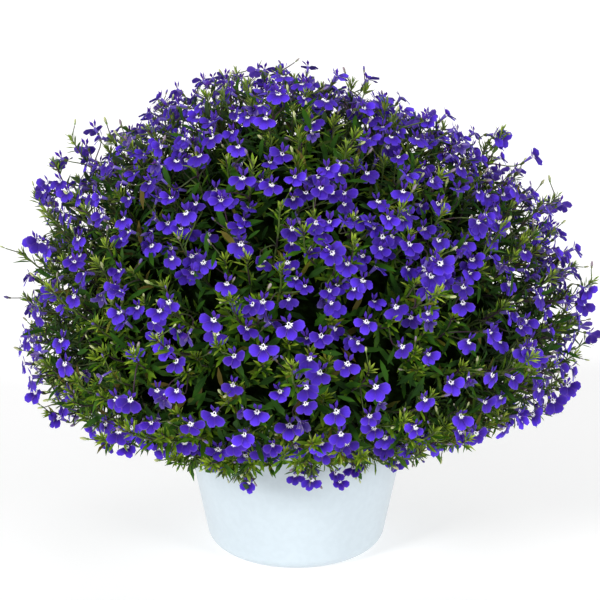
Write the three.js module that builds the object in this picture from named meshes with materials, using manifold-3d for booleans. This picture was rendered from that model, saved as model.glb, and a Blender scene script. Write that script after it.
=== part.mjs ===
// A trailing lobelia in flower, standing in its pot: a white tapered pot, the potting soil in it, and a
// round bush of flowering sprays. Each spray is one solid: a stem that stands in a hole in the soil, a
// twiggy heart, and the blooms, leafy shoot tips and toothed leaves that stand out of that heart.
// Millimetres, +Z up, origin at the middle of the pot's flat base.
import * as THREE from "three";
import { mergeVertices } from "three/addons/utils/BufferGeometryUtils.js";
import Module from "manifold-3d";

const { clamp, degToRad, lerp, smoothstep } = THREE.MathUtils;

// Pot: a thin moulded cone with a rounded foot and a rolled rim.
const POT_HEIGHT = 100;
const POT_FOOT_RADIUS = 53.5; // where the wall's line meets the base's plane
const POT_RIM_RADIUS = 73;
const POT_CORNER = 9;
const POT_WALL = 1.8;
const POT_LIP = 1.1; // how far the rolled rim stands out of the wall on each side
const POT_SEGMENTS = 32;
const CORNER_STEPS = 3;
const DRAIN_COUNT = 5;
const DRAIN_RADIUS = 4;
const DRAIN_CIRCLE = 33;
const DRAIN_SIDES = 10;

// Soil: fills the pot to a little under its rim.
const SOIL_GAP = 0.4;
const SOIL_EDGE = 87;
const SOIL_CROWN = 90;
const SOIL_SHOULDER = 0.6; // share of the soil's radius inside which it is nearly level

// Bush: directions are measured from the heart, a point just over the soil.
const HEART = new THREE.Vector3(0, 0, 120);
const REACH = 179; // from the heart to the furthest tips, all round the upper side
const SKIRT_REACH = 98; // the same where the bush hangs lowest round the pot
const SKIRT_FROM = degToRad(86); // polar angles between which one becomes the other
const SKIRT_TO = degToRad(122);
const LOWEST = degToRad(118); // polar angle of the lowest blooms
const SKIRT_TUCK = 0.08; // how much less the skirt hangs at the front and back than at the two sides
// Tufts and one hollow in the bush's outside: [direction, gain as a share of the reach, sharpness].
const MOUNDS = [
  [new THREE.Vector3(-0.12, 0.26, 0.96).normalize(), 0.03, 60],
  [new THREE.Vector3(-0.74, 0.17, 0.65).normalize(), 0.05, 60],
  [new THREE.Vector3(0.37, 0.24, 0.9).normalize(), -0.06, 14],
];
const LUMP_HEIGHTS = [0.02, 0.015]; // shallow lumps round the bush, as shares of its reach

// Sprays
const SPRAYS = 27;
const STEM_RADIUS = 1.7;
const NECK_RADIUS = 2.4;
const NECK_DISTANCE = 36; // from the heart to where a stem widens into its twiggy heart
const STEM_SIDES = 5;
const STEM_DEPTH = 12; // how deep a stem stands in the soil
const STEM_RISE = 3; // how far it rises from the soil before it leans out
const STEM_CLEARANCE = 0.5;
const HOLE_SIDES = 5;
const STEM_SPREAD = 29; // the outermost stems' distance from the pot's axis
const TWIG_LOWEST = degToRad(101);
const TWIG_SIDES = 8;
const TWIG_LEVEL = 0.79; // of the reach
const TWIG_CROWN = 0.83;
const TWIG_ROUGHNESS = 0.06;
const TWIG_GAP = 0.5; // half the space between two neighbours
const WIDEST_SPRAY = 0.6; // radians, more than any spray spreads from its own direction

// What stands out of the sprays, one at each site
const SITES = 675;
const SITE_DRAWS = 28; // a site is the best of this many draws, so that sites keep apart
const BLOOM_SHARE = 0.875;
const SHOOT_SHARE = 0.075; // the rest are single leaves
const GOLDEN_ANGLE = Math.PI * (3 - Math.sqrt(5));
const ROOT_LEVEL = 0.46; // where a stalk ends, deep in its spray
const ROOT_LOWEST = degToRad(92);
const ROOT_LEAN = 0.6; // how far a stalk leans towards the middle of its spray
// Where along the reach a bloom's throat, a shoot's middle and a leaf's tip lie: nearest and furthest.
const BLOOM_LEVELS = [0.885, 0.97];
const SHOOT_LEVELS = [0.87, 0.98];
const LEAF_LEVELS = [0.92, 0.99];
const SIZES = [0.88, 1.12];
// A bloom faces away from the heart, turned outwards, a little upwards and a little at random.
const FACE_AWAY = 0.72;
const FACE_OUT = 0.38;
const FACE_UP = 0.12;
const FACE_RANDOM = 0.26;
const HEAD_BACK = 0.6; // how far its upper lobes tip back over the bush
const HEAD_ROLL = 0.5; // and how far they roll to a side

// A bloom seen from the front, as [angle in degrees, radius, lift towards the eye]: three broad lobes
// below, and the two narrow lobes above as one peak.
const BLOOM_OUTLINE = [
  [-90, 7.2, 0.5],
  [-20, 7.0, -0.4],
  [90, 4.9, 1.2],
  [200, 7.0, -0.4],
];
const BLOOM_TUBE = 2.8;
// A leafy shoot tip seen from the front: four narrow leaves bent forward.
const SHOOT_OUTLINE = [
  [0, 8.0, 4.5],
  [45, 1.7, 0],
  [90, 7.2, 7],
  [135, 1.7, 0],
  [180, 8.8, 3.5],
  [225, 1.7, 0],
  [270, 7.2, 6],
  [315, 1.7, 0],
];
const SHOOT_TUBE = 2.4;
const STALK_RADIUS = 0.85;
const STALK_SIDES = 3;
// One side of a single leaf, root to tip, as [share of its length, half width]: stalk, tooth, notch, tooth.
const LEAF_SIDE = [
  [0.62, 0.7],
  [0.74, 3.0],
  [0.8, 2.3],
  [0.87, 2.8],
];
const LEAF_HALF_THICKNESS = 0.55;
const LEAF_MIDRIB = 0.8; // share of its length where the leaf is thickest

const wasm = await Module();
wasm.setup();

const UP = new THREE.Vector3(0, 0, 1);

// A repeatable draw between 0 and 1 for one thing and one use.
function draw(index, use) {
  const x = Math.sin(index * 127.1 + use * 311.7 + 17.3) * 43758.5453;
  return x - Math.floor(x);
}

function spread(index, use) {
  return 2 * draw(index, use) - 1;
}

function direction(polar, azimuth) {
  return new THREE.Vector3().setFromSphericalCoords(1, polar, azimuth).applyAxisAngle(
    new THREE.Vector3(1, 0, 0),
    Math.PI / 2,
  );
}

function polarOf(way) {
  return Math.acos(clamp(way.z, -1, 1));
}

// How far the bush reaches from its heart along a direction.
function reach(way) {
  const frontness = way.y ** 2 / Math.max(way.x ** 2 + way.y ** 2, 1e-12);
  const skirt = smoothstep(polarOf(way) / (1 - SKIRT_TUCK * frontness), SKIRT_FROM, SKIRT_TO);
  const azimuth = Math.atan2(way.y, way.x);
  const broad = LUMP_HEIGHTS[0] * Math.sin(3 * azimuth + 0.6);
  const narrow = LUMP_HEIGHTS[1] * Math.sin(5 * azimuth + 4 * way.z);
  const mounds = MOUNDS.reduce((sum, [top, gain, sharp]) => sum + gain * Math.exp(-sharp * (1 - way.dot(top))), 0);
  return lerp(REACH, SKIRT_REACH, skirt) * (1 + broad + narrow + mounds);
}

function fromHeart(way, distance) {
  return way.clone().multiplyScalar(distance).add(HEART);
}

function meshFrom(points, faces) {
  const geometry = new THREE.BufferGeometry().setFromPoints(points);
  geometry.setIndex(faces.flat());
  return geometry;
}

function toSolid(geometry) {
  const bare = geometry.clone();
  bare.deleteAttribute("normal");
  bare.deleteAttribute("uv");
  const merged = mergeVertices(bare, 1e-4);
  return new wasm.Manifold(
    new wasm.Mesh({
      numProp: 3,
      vertProperties: merged.attributes.position.array,
      triVerts: new Uint32Array(merged.index.array),
    }),
  );
}

function toGeometry(solid) {
  const mesh = solid.getMesh();
  const geometry = new THREE.BufferGeometry();
  geometry.setAttribute("position", new THREE.BufferAttribute(mesh.vertProperties, 3));
  geometry.setIndex(new THREE.BufferAttribute(mesh.triVerts, 1));
  const shaded = geometry.toNonIndexed();
  shaded.computeVertexNormals();
  return shaded;
}

// A closed circle of points round a centre, in the plane of two unit vectors.
function ring(centre, side, over, radius, count) {
  return Array.from({ length: count }, (_, i) => {
    const angle = (2 * Math.PI * i) / count;
    return centre
      .clone()
      .addScaledVector(side, radius * Math.cos(angle))
      .addScaledVector(over, radius * Math.sin(angle));
  });
}

// Triangles between two rings that start at the same angle, from ring a up to ring b.
function bridge(aStart, aCount, bStart, bCount) {
  const faces = [];
  let i = 0;
  let j = 0;
  while (i < aCount || j < bCount) {
    const stepOnA = j === bCount || (i < aCount && (i + 0.5) / aCount <= (j + 0.5) / bCount);
    const a = aStart + (i % aCount);
    const b = bStart + (j % bCount);
    if (stepOnA) {
      faces.push([a, aStart + ((i + 1) % aCount), b]);
      i += 1;
    } else {
      faces.push([a, bStart + ((j + 1) % bCount), b]);
      j += 1;
    }
  }
  return faces;
}

function cylinder(radius, low, high, sides, x, y) {
  const geometry = new THREE.CylinderGeometry(radius, radius, high - low, sides);
  geometry.rotateX(Math.PI / 2);
  geometry.translate(x, y, (low + high) / 2);
  return toSolid(geometry);
}

// The pot's outer line moved inwards by a distance: foot corner, then the top of the wall.
function potLine(inset, top) {
  const slope = Math.atan2(POT_RIM_RADIUS - POT_FOOT_RADIUS, POT_HEIGHT);
  const radiusAt = (z) => POT_FOOT_RADIUS + z * Math.tan(slope) - inset / Math.cos(slope);
  const corner = POT_CORNER - inset;
  const centreZ = POT_CORNER;
  const centreR = radiusAt(centreZ) - corner / Math.cos(slope);
  const line = [];
  for (let i = 0; i <= CORNER_STEPS; i += 1) {
    const angle = -Math.PI / 2 + (i / CORNER_STEPS) * (Math.PI / 2 - slope);
    line.push(new THREE.Vector2(centreR + corner * Math.cos(angle), centreZ + corner * Math.sin(angle)));
  }
  line.push(new THREE.Vector2(radiusAt(top), top));
  return line;
}

function lathe(profile) {
  const geometry = new THREE.LatheGeometry(profile, POT_SEGMENTS);
  geometry.rotateX(Math.PI / 2);
  return toSolid(geometry);
}

function makePot() {
  const lipZ = POT_HEIGHT - 2 * POT_LIP;
  const outside = potLine(0, lipZ);
  const inside = potLine(POT_WALL, lipZ);
  const outerTop = outside.at(-1);
  const innerTop = inside.at(-1);
  const lip = [
    new THREE.Vector2(outerTop.x + POT_LIP, lipZ + 0.4 * POT_LIP),
    new THREE.Vector2(outerTop.x + 0.8 * POT_LIP, POT_HEIGHT - 0.3 * POT_LIP),
    new THREE.Vector2((outerTop.x + innerTop.x) / 2, POT_HEIGHT),
    new THREE.Vector2(innerTop.x, POT_HEIGHT - 0.5 * POT_LIP),
  ];
  const axis = (z) => new THREE.Vector2(0, z);
  const pot = lathe([axis(0), ...outside, ...lip, ...inside.reverse(), axis(POT_WALL)]);
  const drains = Array.from({ length: DRAIN_COUNT }, (_, i) => {
    const angle = (2 * Math.PI * i) / DRAIN_COUNT;
    const x = DRAIN_CIRCLE * Math.cos(angle);
    const y = DRAIN_CIRCLE * Math.sin(angle);
    return cylinder(DRAIN_RADIUS, -1, POT_WALL + 1, DRAIN_SIDES, x, y);
  });
  return pot.subtract(wasm.Manifold.union(drains));
}

function stemFoot(spray) {
  const distance = (STEM_SPREAD * polarOf(spray.way)) / TWIG_LOWEST;
  return new THREE.Vector3(distance * Math.cos(spray.azimuth), distance * Math.sin(spray.azimuth), 0);
}

function makeSoil(sprays) {
  const inset = POT_WALL + SOIL_GAP;
  const side = potLine(inset, SOIL_EDGE);
  const edge = side.at(-1);
  const shoulder = new THREE.Vector2(SOIL_SHOULDER * edge.x, lerp(SOIL_EDGE, SOIL_CROWN, 0.8));
  const crown = [shoulder, new THREE.Vector2(0, SOIL_CROWN)];
  const soil = lathe([new THREE.Vector2(0, inset), ...side, ...crown]);
  const low = SOIL_EDGE - STEM_DEPTH - STEM_CLEARANCE;
  const holes = sprays.map((spray) => {
    const foot = stemFoot(spray);
    return cylinder(STEM_RADIUS + STEM_CLEARANCE, low, SOIL_CROWN + 5, HOLE_SIDES, foot.x, foot.y);
  });
  return soil.subtract(wasm.Manifold.union(holes));
}

// The sprays' directions, spread evenly over the bush.
function sprayDirections() {
  return Array.from({ length: SPRAYS }, (_, k) => {
    const polar = Math.acos(1 - ((k + 0.5) / SPRAYS) * (1 - Math.cos(TWIG_LOWEST)));
    const azimuth = k * GOLDEN_ANGLE;
    const way = direction(polar, azimuth);
    const turn = Math.atan2(way.y, way.x);
    const side = new THREE.Vector3(-Math.sin(turn), Math.cos(turn), 0);
    return { index: k, way, azimuth: turn, side, over: way.clone().cross(side) };
  });
}

function nearestSpray(way, sprays) {
  return sprays.reduce((best, spray) => (spray.way.dot(way) > best.way.dot(way) ? spray : best));
}

// How far a spray spreads from its own direction before it meets a neighbour or the bush's underside.
function sprayEdge(spray, angle, sprays) {
  const turned = (a, b, by) => a.clone().multiplyScalar(Math.cos(by)).addScaledVector(b, Math.sin(by));
  const side = turned(spray.side, spray.over, angle);
  const at = (tilt) => turned(spray.way, side, tilt);
  let inside = 0;
  let outside = WIDEST_SPRAY;
  for (let step = 0; step < 20; step += 1) {
    const tilt = (inside + outside) / 2;
    const way = at(tilt);
    const mine = nearestSpray(way, sprays) === spray && polarOf(way) < TWIG_LOWEST;
    if (mine) inside = tilt;
    else outside = tilt;
  }
  const margin = TWIG_GAP / (TWIG_LEVEL * SKIRT_REACH);
  return at(inside - margin);
}

// A spray's stem and twiggy heart: rings from the foot in the soil, over the neck, to a rough head.
function makeTwigs(spray, sprays) {
  const foot = stemFoot(spray);
  const over = UP.clone().cross(spray.side);
  const lowRing = ring(foot.clone().setZ(SOIL_EDGE - STEM_DEPTH), spray.side, over, STEM_RADIUS, STEM_SIDES);
  const highRing = ring(foot.clone().setZ(SOIL_CROWN + STEM_RISE), spray.side, over, STEM_RADIUS, STEM_SIDES);
  const neckRing = ring(fromHeart(spray.way, NECK_DISTANCE), spray.side, spray.over, NECK_RADIUS, STEM_SIDES);
  const headRing = Array.from({ length: TWIG_SIDES }, (_, i) => {
    const way = sprayEdge(spray, (2 * Math.PI * i) / TWIG_SIDES, sprays);
    const level = TWIG_LEVEL * (1 + TWIG_ROUGHNESS * spread(spray.index, 10 + i));
    return fromHeart(way, level * reach(way));
  });
  const top = fromHeart(spray.way, TWIG_CROWN * reach(spray.way));
  const points = [...lowRing, ...highRing, ...neckRing, ...headRing, top];
  const n = STEM_SIDES;
  const head = 3 * n;
  const last = points.length - 1;
  const faces = [];
  for (let i = 1; i < n - 1; i += 1) faces.push([0, i + 1, i]);
  faces.push(...bridge(0, n, n, n), ...bridge(n, n, 2 * n, n), ...bridge(2 * n, n, head, TWIG_SIDES));
  for (let i = 0; i < TWIG_SIDES; i += 1) faces.push([head + i, head + ((i + 1) % TWIG_SIDES), last]);
  return toSolid(meshFrom(points, faces));
}

// A star of petals or leaves facing `facing`, on a stalk that narrows to a point at `root`.
function makeStar(outline, tube, scale, head, facing, upward, root) {
  const side = upward.clone().cross(facing).normalize();
  const over = facing.clone().cross(side);
  const place = (angle, radius, lift) =>
    head
      .clone()
      .addScaledVector(side, scale * radius * Math.cos(angle))
      .addScaledVector(over, scale * radius * Math.sin(angle))
      .addScaledVector(facing, scale * lift);
  const rim = outline.map(([degrees, radius, lift]) => place(degToRad(degrees), radius, lift));
  const first = degToRad(outline[0][0]);
  const stalk = Array.from({ length: STALK_SIDES }, (_, i) =>
    place(first + (2 * Math.PI * i) / STALK_SIDES, STALK_RADIUS / scale, -tube),
  );
  const count = rim.length;
  const apex = count + STALK_SIDES;
  const faces = [];
  for (let i = 0; i < count; i += 2) faces.push([(i + count - 1) % count, i, i + 1]);
  for (let i = 3; i < count - 1; i += 2) faces.push([1, i, i + 2]);
  faces.push(...bridge(count, STALK_SIDES, 0, count));
  for (let i = 0; i < STALK_SIDES; i += 1) faces.push([count + ((i + 1) % STALK_SIDES), count + i, apex]);
  return toSolid(meshFrom([...rim, ...stalk, root], faces));
}

// A toothed leaf from `root` to `tip`, its face turned to `facing`.
function makeLeaf(root, tip, facing) {
  const along = tip.clone().sub(root);
  const length = along.length();
  along.normalize();
  const side = along.clone().cross(facing).normalize();
  const normal = side.clone().cross(along);
  const place = (share, across, lift) =>
    root
      .clone()
      .addScaledVector(along, share * length)
      .addScaledVector(side, across)
      .addScaledVector(normal, lift);
  const right = LEAF_SIDE.map(([share, width]) => place(share, width, 0));
  const left = LEAF_SIDE.map(([share, width]) => place(share, -width, 0)).reverse();
  const rim = [root, ...right, tip, ...left];
  const count = rim.length;
  const front = place(LEAF_MIDRIB, 0, LEAF_HALF_THICKNESS);
  const back = place(LEAF_MIDRIB, 0, -LEAF_HALF_THICKNESS);
  const faces = [];
  for (let i = 0; i < count; i += 1) {
    const next = (i + 1) % count;
    faces.push([i, next, count], [next, i, count + 1]);
  }
  return toSolid(meshFrom([...rim, front, back], faces));
}

// Directions scattered over the bush: each is the draw that lies furthest from all the ones before it.
function scatterWays() {
  const ways = [];
  const tips = [];
  for (let i = 0; i < SITES; i += 1) {
    let best = { gap: -1 };
    for (let j = i * SITE_DRAWS; j < (i + 1) * SITE_DRAWS; j += 1) {
      const polar = Math.acos(1 - draw(j, 1) * (1 - Math.cos(LOWEST)));
      const azimuth = 2 * Math.PI * draw(j, 2);
      const way = direction(polar * (1 - SKIRT_TUCK * Math.cos(azimuth) ** 2), azimuth);
      const tip = fromHeart(way, reach(way));
      const gap = tips.reduce((least, other) => Math.min(least, other.distanceToSquared(tip)), Infinity);
      if (gap > best.gap) best = { gap, way, tip };
    }
    ways.push(best.way);
    tips.push(best.tip);
  }
  return ways;
}

// The sites: a direction each, the spray it belongs to, where its stalk roots, and its frame.
function makeSites(sprays) {
  return scatterWays().map((way, i) => {
    const spray = nearestSpray(way, sprays);
    const inner = way.clone().lerp(spray.way, ROOT_LEAN).normalize();
    const azimuthIn = Math.atan2(inner.y, inner.x);
    const polarIn = Math.min(polarOf(inner), ROOT_LOWEST);
    const rootWay = new THREE.Vector3(
      Math.sin(polarIn) * Math.cos(azimuthIn),
      Math.sin(polarIn) * Math.sin(azimuthIn),
      Math.cos(polarIn),
    );
    const outward = new THREE.Vector3(way.x, way.y, 0).normalize();
    const wobble = new THREE.Vector3(spread(i, 3), spread(i, 4), spread(i, 5));
    const facing = way
      .clone()
      .multiplyScalar(FACE_AWAY)
      .addScaledVector(outward, FACE_OUT)
      .addScaledVector(UP, FACE_UP)
      .addScaledVector(wobble, FACE_RANDOM)
      .normalize();
    const upward = UP.clone()
      .addScaledVector(outward, -HEAD_BACK)
      .addScaledVector(outward.clone().cross(UP), HEAD_ROLL * spread(i, 6));
    return { index: i, way, spray, facing, upward, root: fromHeart(rootWay, ROOT_LEVEL * reach(rootWay)) };
  });
}

function makeOutgrowth(site) {
  const kind = draw(site.index, 7);
  const size = lerp(...SIZES, draw(site.index, 9));
  const at = (levels) => fromHeart(site.way, lerp(...levels, draw(site.index, 8)) * reach(site.way));
  if (kind < BLOOM_SHARE) {
    return makeStar(BLOOM_OUTLINE, BLOOM_TUBE, size, at(BLOOM_LEVELS), site.facing, site.upward, site.root);
  }
  if (kind < BLOOM_SHARE + SHOOT_SHARE) {
    const facing = site.way.clone().lerp(site.facing, 0.3).normalize();
    return makeStar(SHOOT_OUTLINE, SHOOT_TUBE, size, at(SHOOT_LEVELS), facing, site.upward, site.root);
  }
  return makeLeaf(site.root, at(LEAF_LEVELS), site.upward);
}

const finishes = {
  pot: new THREE.MeshStandardMaterial({ color: 0xe4ecf0, roughness: 0.42, metalness: 0 }),
  soil: new THREE.MeshStandardMaterial({ color: 0x33261c, roughness: 0.95, metalness: 0 }),
  spray: new THREE.MeshStandardMaterial({ color: 0x3f6a24, roughness: 0.6, metalness: 0 }),
};

function addNode(group, name, solid, finish) {
  const mesh = new THREE.Mesh(toGeometry(solid), finish);
  mesh.name = name;
  group.add(mesh);
}

const lobelia = new THREE.Group();
const sprays = sprayDirections();
const sites = makeSites(sprays);
addNode(lobelia, "pot", makePot(), finishes.pot);
addNode(lobelia, "soil", makeSoil(sprays), finishes.soil);
for (const spray of sprays) {
  const outgrowths = sites.filter((site) => site.spray === spray).map(makeOutgrowth);
  const solid = wasm.Manifold.union([makeTwigs(spray, sprays), ...outgrowths]);
  addNode(lobelia, "spray_" + String(spray.index + 1).padStart(2, "0"), solid, finishes.spray);
}

export default lobelia;
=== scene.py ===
"""A trailing lobelia in flower in its white pot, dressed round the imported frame.

The bush's rule (heart, reach, sprays and sites) is the one that the solids follow, so wherever a bloom
stands there, one stands here. Lengths are millimetres until a mesh is made, which turns them to metres.
"""
import math

import bmesh
import bpy
import numpy as np
from mathutils import Matrix, Vector


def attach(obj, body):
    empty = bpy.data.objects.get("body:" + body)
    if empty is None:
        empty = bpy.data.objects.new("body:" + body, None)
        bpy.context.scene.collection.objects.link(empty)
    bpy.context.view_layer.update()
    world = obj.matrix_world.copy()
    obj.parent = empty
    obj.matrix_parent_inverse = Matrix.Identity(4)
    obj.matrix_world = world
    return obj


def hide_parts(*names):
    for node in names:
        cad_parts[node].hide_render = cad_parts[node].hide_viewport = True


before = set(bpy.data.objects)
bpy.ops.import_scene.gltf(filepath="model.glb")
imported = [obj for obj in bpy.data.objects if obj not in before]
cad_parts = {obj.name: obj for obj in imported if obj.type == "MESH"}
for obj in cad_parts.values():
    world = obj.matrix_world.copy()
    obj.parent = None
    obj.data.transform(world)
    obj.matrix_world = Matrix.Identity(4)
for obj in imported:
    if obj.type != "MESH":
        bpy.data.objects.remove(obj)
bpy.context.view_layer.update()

MM = 0.001
SPRAY_NODES = sorted(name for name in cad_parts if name.startswith("spray_"))


def add_object(name, data):
    """A new object in the scene."""
    item = bpy.data.objects.new(name, data)
    bpy.context.scene.collection.objects.link(item)
    return item


def made_mesh(build, name):
    """Turns a mesh under construction into a finished one."""
    mesh = bpy.data.meshes.new(name)
    build.to_mesh(mesh)
    build.free()
    return mesh


def evaluated(item):
    """What an object's modifiers make of its mesh."""
    graph = bpy.context.evaluated_depsgraph_get()
    return bpy.data.meshes.new_from_object(item.evaluated_get(graph))


# Camera: a moderately long lens, a little above the plant.

FRAME_WIDTH = 600  # pixels
MM_PER_PIXEL = 0.6  # at the plant's axis
CAMERA_ELEVATION = math.radians(15)
LENS = 85.0
SENSOR = 36.0
AIM = Vector((2.4, 0, 152)) * MM


def make_camera():
    data = bpy.data.cameras.new("camera")
    data.lens = LENS
    data.sensor_width = SENSOR
    data.clip_end = 30
    camera = add_object("camera", data)
    distance = FRAME_WIDTH * MM_PER_PIXEL * MM * LENS / SENSOR
    back = Vector((0, -math.cos(CAMERA_ELEVATION), math.sin(CAMERA_ELEVATION)))
    camera.location = AIM + back * distance
    camera.rotation_mode = "QUATERNION"
    camera.rotation_quaternion = (-back).to_track_quat("-Z", "Y")
    bpy.context.scene.camera = camera


make_camera()

# The bush's rule, as in the solids.

HEART = np.array((0.0, 0.0, 120.0))
UP = np.array((0.0, 0.0, 1.0))
REACH = 179.0  # from the heart to the furthest tips, all round the upper side
SKIRT_REACH = 98.0  # the same where the bush hangs lowest round the pot
SKIRT_FROM = math.radians(86)  # polar angles between which one becomes the other
SKIRT_TO = math.radians(122)
LOWEST = math.radians(118)  # polar angle of the lowest blooms
SKIRT_TUCK = 0.08  # how much less the skirt hangs at the front and back than at the two sides
# Direction, share of the reach that it adds, and sharpness of each mound and hollow
MOUNDS = (((-0.12, 0.26, 0.96), 0.03, 60), ((-0.74, 0.17, 0.65), 0.05, 60), ((0.37, 0.24, 0.9), -0.06, 14))
LUMP_HEIGHTS = (0.02, 0.015)  # shallow lumps round the bush, as shares of its reach
SPRAYS = len(SPRAY_NODES)
SPRAY_LOWEST = math.radians(101)
STEM_SPREAD = 29.0  # the outermost stems' distance from the pot's axis
NECK_DISTANCE = 36.0  # from the heart to where a stem begins to fork
SOIL_EDGE = 87.0
SOIL_CROWN = 90.0
STEM_DEPTH = 12.0  # how deep a stem stands in the soil
SITES = 675
SITE_DRAWS = 28  # a site is the best of this many draws, so that sites keep apart
BLOOM_SHARE = 0.875  # of the sites, and the rest are leafy
ROOT_LEVEL = 0.46  # where a stalk ends, deep in its spray
ROOT_LOWEST = math.radians(92)
ROOT_LEAN = 0.6  # how far a stalk leans towards the middle of its spray
BLOOM_LEVELS = (0.885, 0.97)
SIZES = (0.88, 1.12)
FACE_AWAY = 0.72  # shares of a bloom's facing: away from the heart, level outwards, up and at random
FACE_OUT = 0.38
FACE_UP = 0.12
FACE_RANDOM = 0.26
HEAD_BACK = 0.6  # how far its upper lobes tip back over the bush
HEAD_ROLL = 0.5  # and how far they roll to a side
GOLDEN_ANGLE = math.pi * (3 - math.sqrt(5))


def draw(index, use):
    """A repeatable draw between 0 and 1 for each index and one use."""
    x = np.sin(np.asarray(index, float) * 127.1 + use * 311.7 + 17.3) * 43758.5453
    return x - np.floor(x)


def spread(index, use):
    return 2 * draw(index, use) - 1


def stray_ways(index, use):
    """Repeatable random vectors, none of them longer than 1 along an axis. They take three uses from this."""
    return np.stack([spread(index, use + i) for i in range(3)], -1)


def lerp(low, high, share):
    return low + (high - low) * share


def unit(rows):
    return rows / np.linalg.norm(rows, axis=-1, keepdims=True)


def direction(polar, azimuth):
    return np.stack((np.sin(polar) * np.sin(azimuth), -np.sin(polar) * np.cos(azimuth), np.cos(polar)), -1)


def polar_of(ways):
    return np.arccos(np.clip(ways[..., 2], -1, 1))


def reach(ways):
    """How far the bush reaches from its heart along each direction."""
    frontness = ways[..., 1] ** 2 / np.maximum(ways[..., 0] ** 2 + ways[..., 1] ** 2, 1e-12)
    angle = polar_of(ways) / (1 - SKIRT_TUCK * frontness)
    share = np.clip((angle - SKIRT_FROM) / (SKIRT_TO - SKIRT_FROM), 0, 1)
    skirt = share * share * (3 - 2 * share)
    azimuth = np.arctan2(ways[..., 1], ways[..., 0])
    broad = LUMP_HEIGHTS[0] * np.sin(3 * azimuth + 0.6)
    narrow = LUMP_HEIGHTS[1] * np.sin(5 * azimuth + 4 * ways[..., 2])
    mounds = sum(gain * np.exp(-sharp * (1 - ways @ unit(np.array(top)))) for top, gain, sharp in MOUNDS)
    return lerp(REACH, SKIRT_REACH, skirt) * (1 + broad + narrow + mounds)


def from_heart(ways, levels):
    """Points at a level of the reach, 0 at the heart and 1 at the furthest tips."""
    return HEART + ways * (levels * reach(ways))[..., None]


def even_ways(count, lowest):
    """Directions spread evenly over the bush in a spiral, down to a polar angle."""
    k = np.arange(count)
    polar = np.arccos(1 - (k + 0.5) / count * (1 - math.cos(lowest)))
    return direction(polar, k * GOLDEN_ANGLE)


SPRAY_WAYS = even_ways(SPRAYS, SPRAY_LOWEST)


def spray_of(ways):
    """The direction of the spray nearest to each direction."""
    return SPRAY_WAYS[(ways @ SPRAY_WAYS.T).argmax(1)]


def scatter_ways(count, draws, uses, lowest=LOWEST):
    """Directions scattered over the bush: each is the draw that lies furthest from all the ones before it."""
    j = np.arange(count * draws)
    polar = np.arccos(1 - draw(j, uses[0]) * (1 - math.cos(lowest)))
    azimuth = 2 * math.pi * draw(j, uses[1])
    ways = direction(polar * (1 - SKIRT_TUCK * np.cos(azimuth) ** 2), azimuth).reshape(count, draws, 3)
    tips = from_heart(ways, np.ones((count, draws)))
    kept = [0]
    for i in range(1, count):
        before = tips[np.arange(i), kept]
        gaps = np.linalg.norm(tips[i][:, None] - before[None], axis=2).min(1)
        kept.append(int(gaps.argmax()))
    return ways[np.arange(count), kept]


def roots_of(ways):
    """Where stalks to these directions leave their spray, deep in the bush."""
    inner = unit(lerp(ways, spray_of(ways), ROOT_LEAN))
    azimuth = np.arctan2(inner[:, 1], inner[:, 0])
    polar = np.minimum(polar_of(inner), ROOT_LOWEST)
    level_ways = np.sin(polar) * np.cos(azimuth), np.sin(polar) * np.sin(azimuth)
    return from_heart(np.stack((*level_ways, np.cos(polar)), -1), np.full(len(ways), ROOT_LEVEL))


def head_frames(ways, index, random_share=FACE_RANDOM, roll=HEAD_ROLL):
    """Facing and upward directions of blooms at these directions."""
    outward = unit(ways * (1, 1, 0))
    facing = FACE_AWAY * ways + FACE_OUT * outward + FACE_UP * UP + random_share * stray_ways(index, 3)
    sideways = np.cross(outward, UP)
    upward = UP - HEAD_BACK * outward + roll * spread(index, 6)[:, None] * sideways
    return unit(facing), upward


# Small shapes, in millimetres, that the node trees repeat.


class Shape:
    """A small closed mesh in the making. Each face has a part number, and each of its corners a UV place."""

    def __init__(self):
        self.points = []
        self.faces = []
        self.places = []
        self.parts = []

    def point(self, matrix, x, y, z):
        self.points.append(matrix @ Vector((x, y, z)))
        return len(self.points) - 1

    def face(self, corners, places, part):
        self.faces.append(corners)
        self.places.extend(places)
        self.parts.append(part)

    def to_mesh(self, name, sharp_angle=50):
        mesh = bpy.data.meshes.new(name)
        mesh.from_pydata([p * MM for p in self.points], [], self.faces)
        mesh.uv_layers.new(name="UVMap").data.foreach_set("uv", [c for place in self.places for c in place])
        mesh.attributes.new("part", "FLOAT", "FACE").data.foreach_set("value", [float(p) for p in self.parts])
        mesh.shade_smooth()
        mesh.set_sharp_from_angle(angle=math.radians(sharp_angle))
        return mesh


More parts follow.
